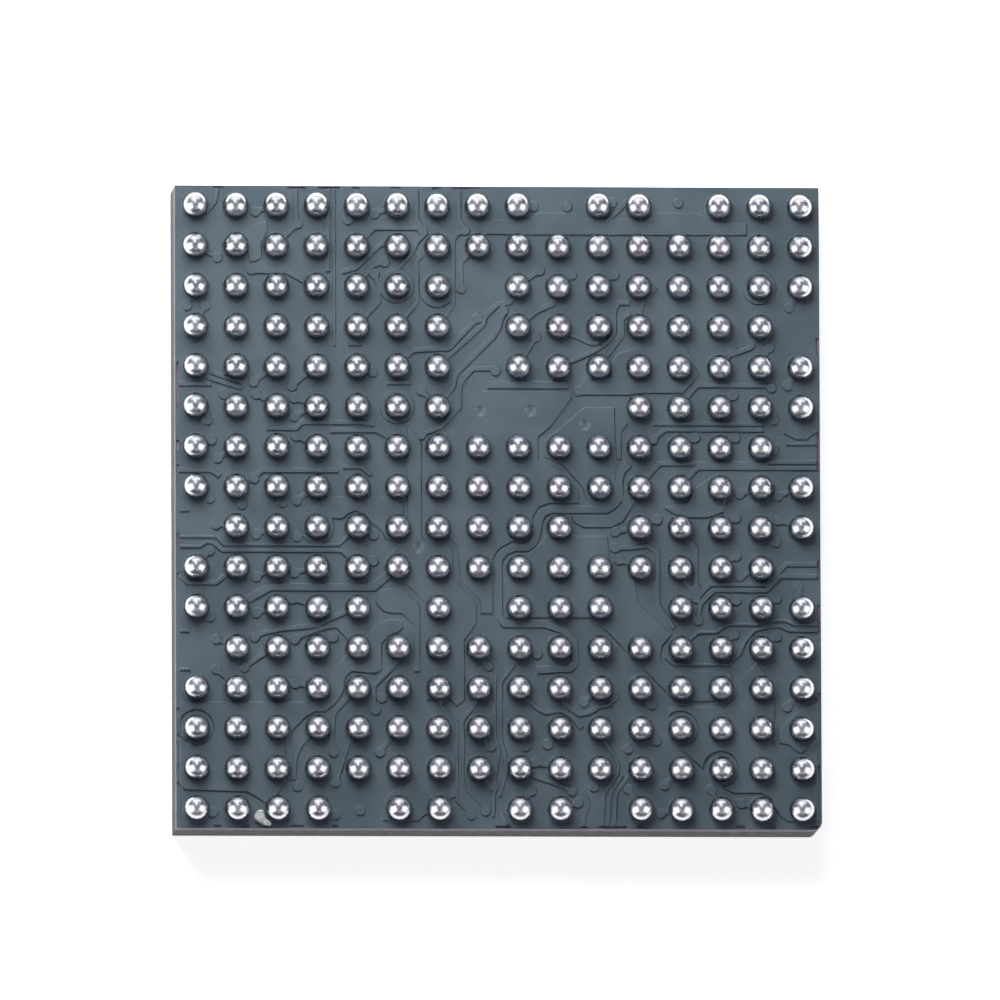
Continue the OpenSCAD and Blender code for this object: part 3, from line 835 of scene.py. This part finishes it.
@dataclass
class SolderBalls:
    """The reflowed balls, one piece for each row of the grid.

    Attributes:
        segments: Faces round a ball.
        rings: Rings of faces from pole to pole.
        wander: Largest shift of a ball from its pad's centre, in metres.
        vary: Largest change of a ball's size, as a share.
        seed: Start of the random draws.
        smooth_under: Angle between faces under which their edge looks rounded, in degrees.
        gap: Least gap between two balls, as a share of a ball's width.
        same: Distance under which two points count as one, in metres.
        master: The ball that all others are copied from, once it is modelled.
    """

    segments: int = 16
    rings: int = 8
    wander: float = 0.004 * MM
    vary: float = 0.012
    seed: int = 16
    smooth_under: float = 50.0
    gap: float = 1 / 3
    same: float = 1e-7
    master: bpy.types.Object | None = field(default=None, repr=False)

    def model_ball(self, diameter: float, stand: float) -> bpy.types.Object:
        """Models one ball about the middle of its pad.

        Args:
            diameter: The ball's width.
            stand: The ball's height above its pad.

        Returns:
            The ball, cut flat where it meets its pad.
        """
        deselect()
        bpy.ops.mesh.primitive_uv_sphere_add(segments=self.segments, ring_count=self.rings,
                                             radius=diameter / 2, location=(0, 0, stand - diameter / 2))
        ball = bpy.context.object
        bpy.ops.object.transform_apply(location=True, rotation=True, scale=True)
        bpy.ops.object.mode_set(mode="EDIT")
        bpy.ops.mesh.select_all(action="SELECT")
        bpy.ops.mesh.bisect(plane_co=(0, 0, 0), plane_no=UP, use_fill=True, clear_inner=True,
                            threshold=self.same)
        bpy.ops.object.mode_set(mode="OBJECT")
        bpy.ops.object.shade_smooth_by_angle(angle=math.radians(self.smooth_under))
        ball.name = "ball_master"
        return ball

    def centres(self, node: bpy.types.Object, width: float) -> list[Vector]:
        """Finds where a CAD row's balls stand.

        Args:
            node: The CAD node of one row.
            width: Diameter of a ball.

        Returns:
            The middle of each ball's foot, in order along the row.
        """
        low, high = (Vector(corner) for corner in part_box(node.name))
        xs = sorted(v.co.x for v in node.data.vertices)
        starts = [xs[0]] + [b for a, b in zip(xs, xs[1:]) if b - a > width * self.gap]
        return [Vector((x + width / 2, (low.y + high.y) / 2, low.z)) for x in starts]

    def build(self, nodes: dict[str, bpy.types.Object]) -> list[bpy.types.Object]:
        """Models every row.

        Args:
            nodes: The CAD nodes by name.

        Returns:
            One piece for each row.
        """
        draw = random.Random(self.seed)
        rows = []
        for name in sorted(n for n in nodes if n.startswith("balls_row_")):
            low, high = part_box(name)
            diameter, stand = high[1] - low[1], high[2] - low[2]
            if self.master is None:
                self.master = self.model_ball(diameter, stand)
            copies = [self._place(centre, draw) for centre in self.centres(nodes[name], diameter)]
            deselect()
            for copy in copies:
                copy.select_set(True)
            bpy.context.view_layer.objects.active = copies[0]
            bpy.ops.object.join()
            row = bpy.context.object
            row.name = name.replace("balls_row", "solder_row")
            row.data.name = row.name
            settle(row, [name], SOLDER)
            rows.append(row)
        bpy.data.objects.remove(self.master)
        return rows

    def _place(self, centre: Vector, draw: random.Random) -> bpy.types.Object:
        """Copies the master ball to a pad, a little off centre, turned and varied in size.

        Args:
            centre: The middle of the pad.
            draw: The random draws.

        Returns:
            The copy.
        """
        copy = self.master.copy()
        copy.data = self.master.data.copy()
        bpy.context.collection.objects.link(copy)
        wide = 1 - draw.uniform(0, self.vary)
        tall = 1 - draw.uniform(0, self.vary)
        shift = Vector((draw.uniform(-1, 1), draw.uniform(-1, 1), 0)) * self.wander
        size = Matrix.Diagonal((wide, wide, tall, 1))
        turn = Matrix.Rotation(draw.uniform(0, math.tau), 4, "Z")
        copy.data.transform(Matrix.Translation(centre + shift) @ turn @ size)
        copy.matrix_world = Matrix.Identity(4)
        return copy


@dataclass
class Residue:
    """The crusted fleck of flux left on the mask.

    Attributes:
        cuts: Times each face of the fleck is divided.
        lumps: Height of its lumps, in metres.
        lump_size: Width of its lumps, in metres.
        bulge: How far the divided faces swell.
        soften: How far each smoothing moves a point towards its neighbours.
        softenings: Number of smoothings.
        sideways: Share of the lumps' height by which they lean aside.
        seed: Start of the noise, which otherwise starts from the clock.
        same: Distance under which two points count as one, in metres.
    """

    cuts: int = 3
    lumps: float = 0.012 * MM
    lump_size: float = 0.03 * MM
    bulge: float = 0.4
    soften: float = 0.5
    softenings: int = 3
    sideways: float = 0.5
    seed: int = 16
    same: float = 1e-7

    def build(self, nodes: dict[str, bpy.types.Object]) -> bpy.types.Object:
        """Models the fleck from the CAD node's outline.

        Args:
            nodes: The CAD nodes by name.

        Returns:
            The finished piece.
        """
        noise.seed_set(self.seed)
        piece = node_copy(nodes["flux_fleck"], "flux_crust")
        low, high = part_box("flux_fleck")
        make_active(piece)
        bpy.ops.object.mode_set(mode="EDIT")
        bpy.ops.mesh.select_all(action="SELECT")
        bpy.ops.mesh.remove_doubles(threshold=self.same)
        bpy.ops.mesh.subdivide(number_cuts=self.cuts, smoothness=self.bulge)
        bpy.ops.mesh.vertices_smooth(factor=self.soften, repeat=self.softenings)
        bpy.ops.object.mode_set(mode="OBJECT")
        tall = high[2] - low[2]
        for vert in piece.data.vertices:
            share = (vert.co.z - low[2]) / tall
            rise = noise.noise(vert.co / self.lump_size) * self.lumps
            side = noise.noise_vector(vert.co / self.lump_size) * self.lumps * self.sideways
            vert.co += Vector((side.x, side.y, rise)) * max(share, 0)
        bpy.ops.object.shade_smooth()
        return piece


class Reach(Enum):
    """What a lamp works on."""

    SHADING = "matt surfaces"
    REFLECTION = "glossy surfaces"


@dataclass(frozen=True)
class Panel:
    """A lamp panel that faces the chip.

    Attributes:
        name: Name of the lamp.
        zenith: Angle from straight above, in degrees.
        heading: Compass angle from +X towards +Y, in degrees.
        width: Width in metres.
        height: Height in metres.
        radiance: Brightness of its face, where 1 looks white.
        reach: What it works on.
        tint: Colour of its light.
        distance: Distance from the chip, in metres.
    """

    name: str
    zenith: float
    heading: float
    width: float
    height: float
    radiance: float
    reach: Reach = Reach.REFLECTION
    tint: Colour = (1.0, 1.0, 1.0)
    distance: float = 0.12


@dataclass
class Studio:
    """Floor, lamps, world and camera.

    Attributes:
        eye: From the chip to the camera, in metres.
        lean_west: How far the camera leans towards -X, in degrees.
        lean_south: How far the camera leans towards -Y, in degrees.
        roll: Turn of the camera about its own axis, in degrees.
        lens: Focal length in millimetres.
        sensor: Width of the camera's sensor in millimetres.
        clip: Nearest and farthest distance that the camera sees, in metres.
        aim: Point that the camera looks at, in metres.
        floor_size: Width of the floor, in metres.
        floor_cuts: Faces along each side of the floor.
        floor_white: Lightness of the floor's surface.
        floor_rough: Roughness of the floor's surface.
        floor_glow: White that the floor adds where it is seen or mirrored.
        ambient: Light of the dim room.
        horizon: Height up to which the room is white, as the sine of its elevation.
        panels: The lamps.
    """

    eye: float = 0.34
    lean_west: float = 3.99
    lean_south: float = 6.25
    roll: float = -0.236
    lens: float = 989.0
    sensor: float = 36.0
    clip: tuple[float, float] = (0.01, 10.0)
    aim: tuple[float, float, float] = (0.0237 * MM, 0.0943 * MM, 0.93 * MM)
    floor_size: float = 1.2
    floor_cuts: int = 8
    floor_white: float = 0.93
    floor_rough: float = 0.9
    floor_glow: float = 0.85
    ambient: Colour = (0.05, 0.05, 0.08)
    horizon: float = 0.02
    panels: tuple[Panel, ...] = (
        Panel("key_lamp", 46, 114, 0.020, 0.020, 6.2, Reach.SHADING, distance=0.024),
        Panel("west_lamp", 84, 183, 0.03, 0.015, 10.5, Reach.SHADING),
        Panel("left_panel", 60, 197, 0.112, 0.127, 1.5),
        Panel("right_panel", 54, -18, 0.097, 0.112, 1.7),
        Panel("north_strip", 36, 104, 0.045, 0.080, 1.3),
        Panel("north_panel", 66, 92, 0.156, 0.064, 1.2, tint=(0.88, 0.94, 1.0)),
        Panel("room_glow", 10, 90, 0.40, 0.40, 0.13, tint=(0.9, 0.93, 1.0)),
        Panel("south_glow", 45, -82, 0.051, 0.042, 0.35),
    )

    def build(self) -> None:
        """Sets up everything around the chip."""
        low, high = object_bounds()
        scene = bpy.context.scene
        scene.view_settings.view_transform = "Standard"
        self._floor(low.z)
        self._world(scene)
        centre = Vector((0, 0, high.z))
        for panel in self.panels:
            self._lamp(panel, centre)
        self._camera(scene)

    def _floor(self, height: float) -> None:
        """Lays a wide white floor under the chip.

        Args:
            height: Height of the chip's lowest point.
        """
        deselect()
        bpy.ops.mesh.primitive_grid_add(x_subdivisions=self.floor_cuts, y_subdivisions=self.floor_cuts,
                                        size=self.floor_size, location=(0, 0, height))
        floor = bpy.context.object
        floor.name = "white_floor"
        bpy.ops.object.transform_apply(location=True, rotation=True, scale=True)
        paint = bpy.data.materials.new("white_paper")
        paint.use_nodes = True
        paint.node_tree.nodes.clear()
        net = NodeTree(paint.node_tree)
        card = net.add(Shader.PRINCIPLED)
        card.inputs["Base Color"].default_value = (*[self.floor_white] * 3, 1)
        card.inputs["Roughness"].default_value = self.floor_rough
        glow = net.add(Shader.EMISSION)
        path = net.add(Shader.LIGHT_PATH)
        mirrored = net.add(Shader.MATH, operation="MAXIMUM")
        net.link(path.outputs["Is Glossy Ray"], mirrored.inputs[0])
        net.link(path.outputs["Is Transmission Ray"], mirrored.inputs[1])
        seen = net.add(Shader.MATH, operation="MAXIMUM")
        net.link(path.outputs["Is Camera Ray"], seen.inputs[0])
        net.link(mirrored.outputs[0], seen.inputs[1])
        strength = net.add(Shader.MATH, operation="MULTIPLY")
        strength.inputs[1].default_value = self.floor_glow
        net.link(seen.outputs[0], strength.inputs[0])
        net.link(strength.outputs[0], glow.inputs["Strength"])
        total = net.add(Shader.ADD_SHADER)
        net.link(card.outputs[0], total.inputs[0])
        net.link(glow.outputs[0], total.inputs[1])
        output = net.add(Shader.OUTPUT)
        net.link(total.outputs[0], output.inputs["Surface"])
        floor.data.materials.append(paint)
        floor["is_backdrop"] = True

    def _world(self, scene: bpy.types.Scene) -> None:
        """Makes a dim room over everything, white up to just above the horizon.

        Args:
            scene: The scene.
        """
        world = bpy.data.worlds.new("studio_room")
        scene.world = world
        world.use_nodes = True
        world.node_tree.nodes.clear()
        net = NodeTree(world.node_tree)
        direction = net.add(Shader.COORDINATES)
        parts = net.add(Shader.SEPARATE)
        net.link(direction.outputs["Generated"], parts.inputs[0])
        above = net.add(Shader.MATH, operation="GREATER_THAN")
        above.inputs[1].default_value = self.horizon
        net.link(parts.outputs["Z"], above.inputs[0])
        room = net.add(Shader.BACKGROUND)
        net.link(net.blend(above.outputs[0], (1.0, 1.0, 1.0), self.ambient), room.inputs["Color"])
        output = net.add(Shader.WORLD_OUTPUT)
        net.link(room.outputs[0], output.inputs["Surface"])

    def _lamp(self, panel: Panel, centre: Vector) -> None:
        """Hangs one panel so that it faces the chip.

        Args:
            panel: The panel.
            centre: The point that it faces.
        """
        zenith, heading = math.radians(panel.zenith), math.radians(panel.heading)
        way = Vector((math.sin(zenith) * math.cos(heading), math.sin(zenith) * math.sin(heading),
                      math.cos(zenith)))
        light = bpy.data.lights.new(panel.name, "AREA")
        light.shape = "RECTANGLE"
        light.size, light.size_y = panel.width, panel.height
        light.energy = panel.radiance * math.pi * panel.width * panel.height
        light.color = panel.tint
        lamp = bpy.data.objects.new(panel.name, light)
        bpy.context.collection.objects.link(lamp)
        lamp.location = centre + way * panel.distance
        lamp.rotation_euler = (-way).to_track_quat("-Z", "Y").to_euler()
        lamp.visible_diffuse = panel.reach is Reach.SHADING
        lamp.visible_glossy = panel.reach is Reach.REFLECTION

    def _camera(self, scene: bpy.types.Scene) -> None:
        """Places the camera almost straight above, leaning a little to the south-west.

        Args:
            scene: The scene.
        """
        back = Vector((-math.tan(math.radians(self.lean_west)),
                       -math.tan(math.radians(self.lean_south)), 1)).normalized()
        right = Vector((0, 1, 0)).cross(back).normalized()
        up = back.cross(right)
        turn = math.radians(self.roll)
        across = right * math.cos(turn) + up * math.sin(turn)
        upward = up * math.cos(turn) - right * math.sin(turn)
        data = bpy.data.cameras.new("studio_camera")
        data.lens = self.lens
        data.sensor_width = self.sensor
        data.clip_start, data.clip_end = self.clip
        camera = bpy.data.objects.new("studio_camera", data)
        bpy.context.collection.objects.link(camera)
        frame = Matrix((across, upward, back)).transposed().to_4x4()
        camera.matrix_world = Matrix.Translation(Vector(self.aim) + back * self.eye) @ frame
        scene.camera = camera


def dress_nodes(nodes: dict[str, bpy.types.Object]) -> None:
    """Gives the CAD nodes that stay their finishes.

    Args:
        nodes: The CAD nodes by name.
    """
    finishes = {
        "mould_cap": MOULD, "silicon_die": SILICON, "die_attach_film": FILM, "bond_wires": GOLD,
        "die_side_mask": LOWER_MASK, "die_side_copper": COPPER, "laminate_core": LAMINATE,
        "plated_vias": COPPER, "ball_side_copper": COPPER,
    }
    for name, finish in finishes.items():
        mesh = nodes[name].data
        mesh.materials.clear()
        mesh.materials.append(finish.material())
        LOG.info("%s: dressed in %s", name, finish.name)


def main() -> None:
    """Builds the dressed chip and its studio."""
    logging.basicConfig(level=logging.INFO, format="%(message)s")
    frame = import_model()
    nodes = frame["nodes"]
    dress_nodes(nodes)
    settle(MaskRelief().build(nodes), ["ball_side_mask"], SOLDER_MASK)
    SolderBalls().build(nodes)
    settle(Residue().build(nodes), ["flux_fleck"], RESIDUE)
    Studio().build()


if __name__ == "__main__":
    main()
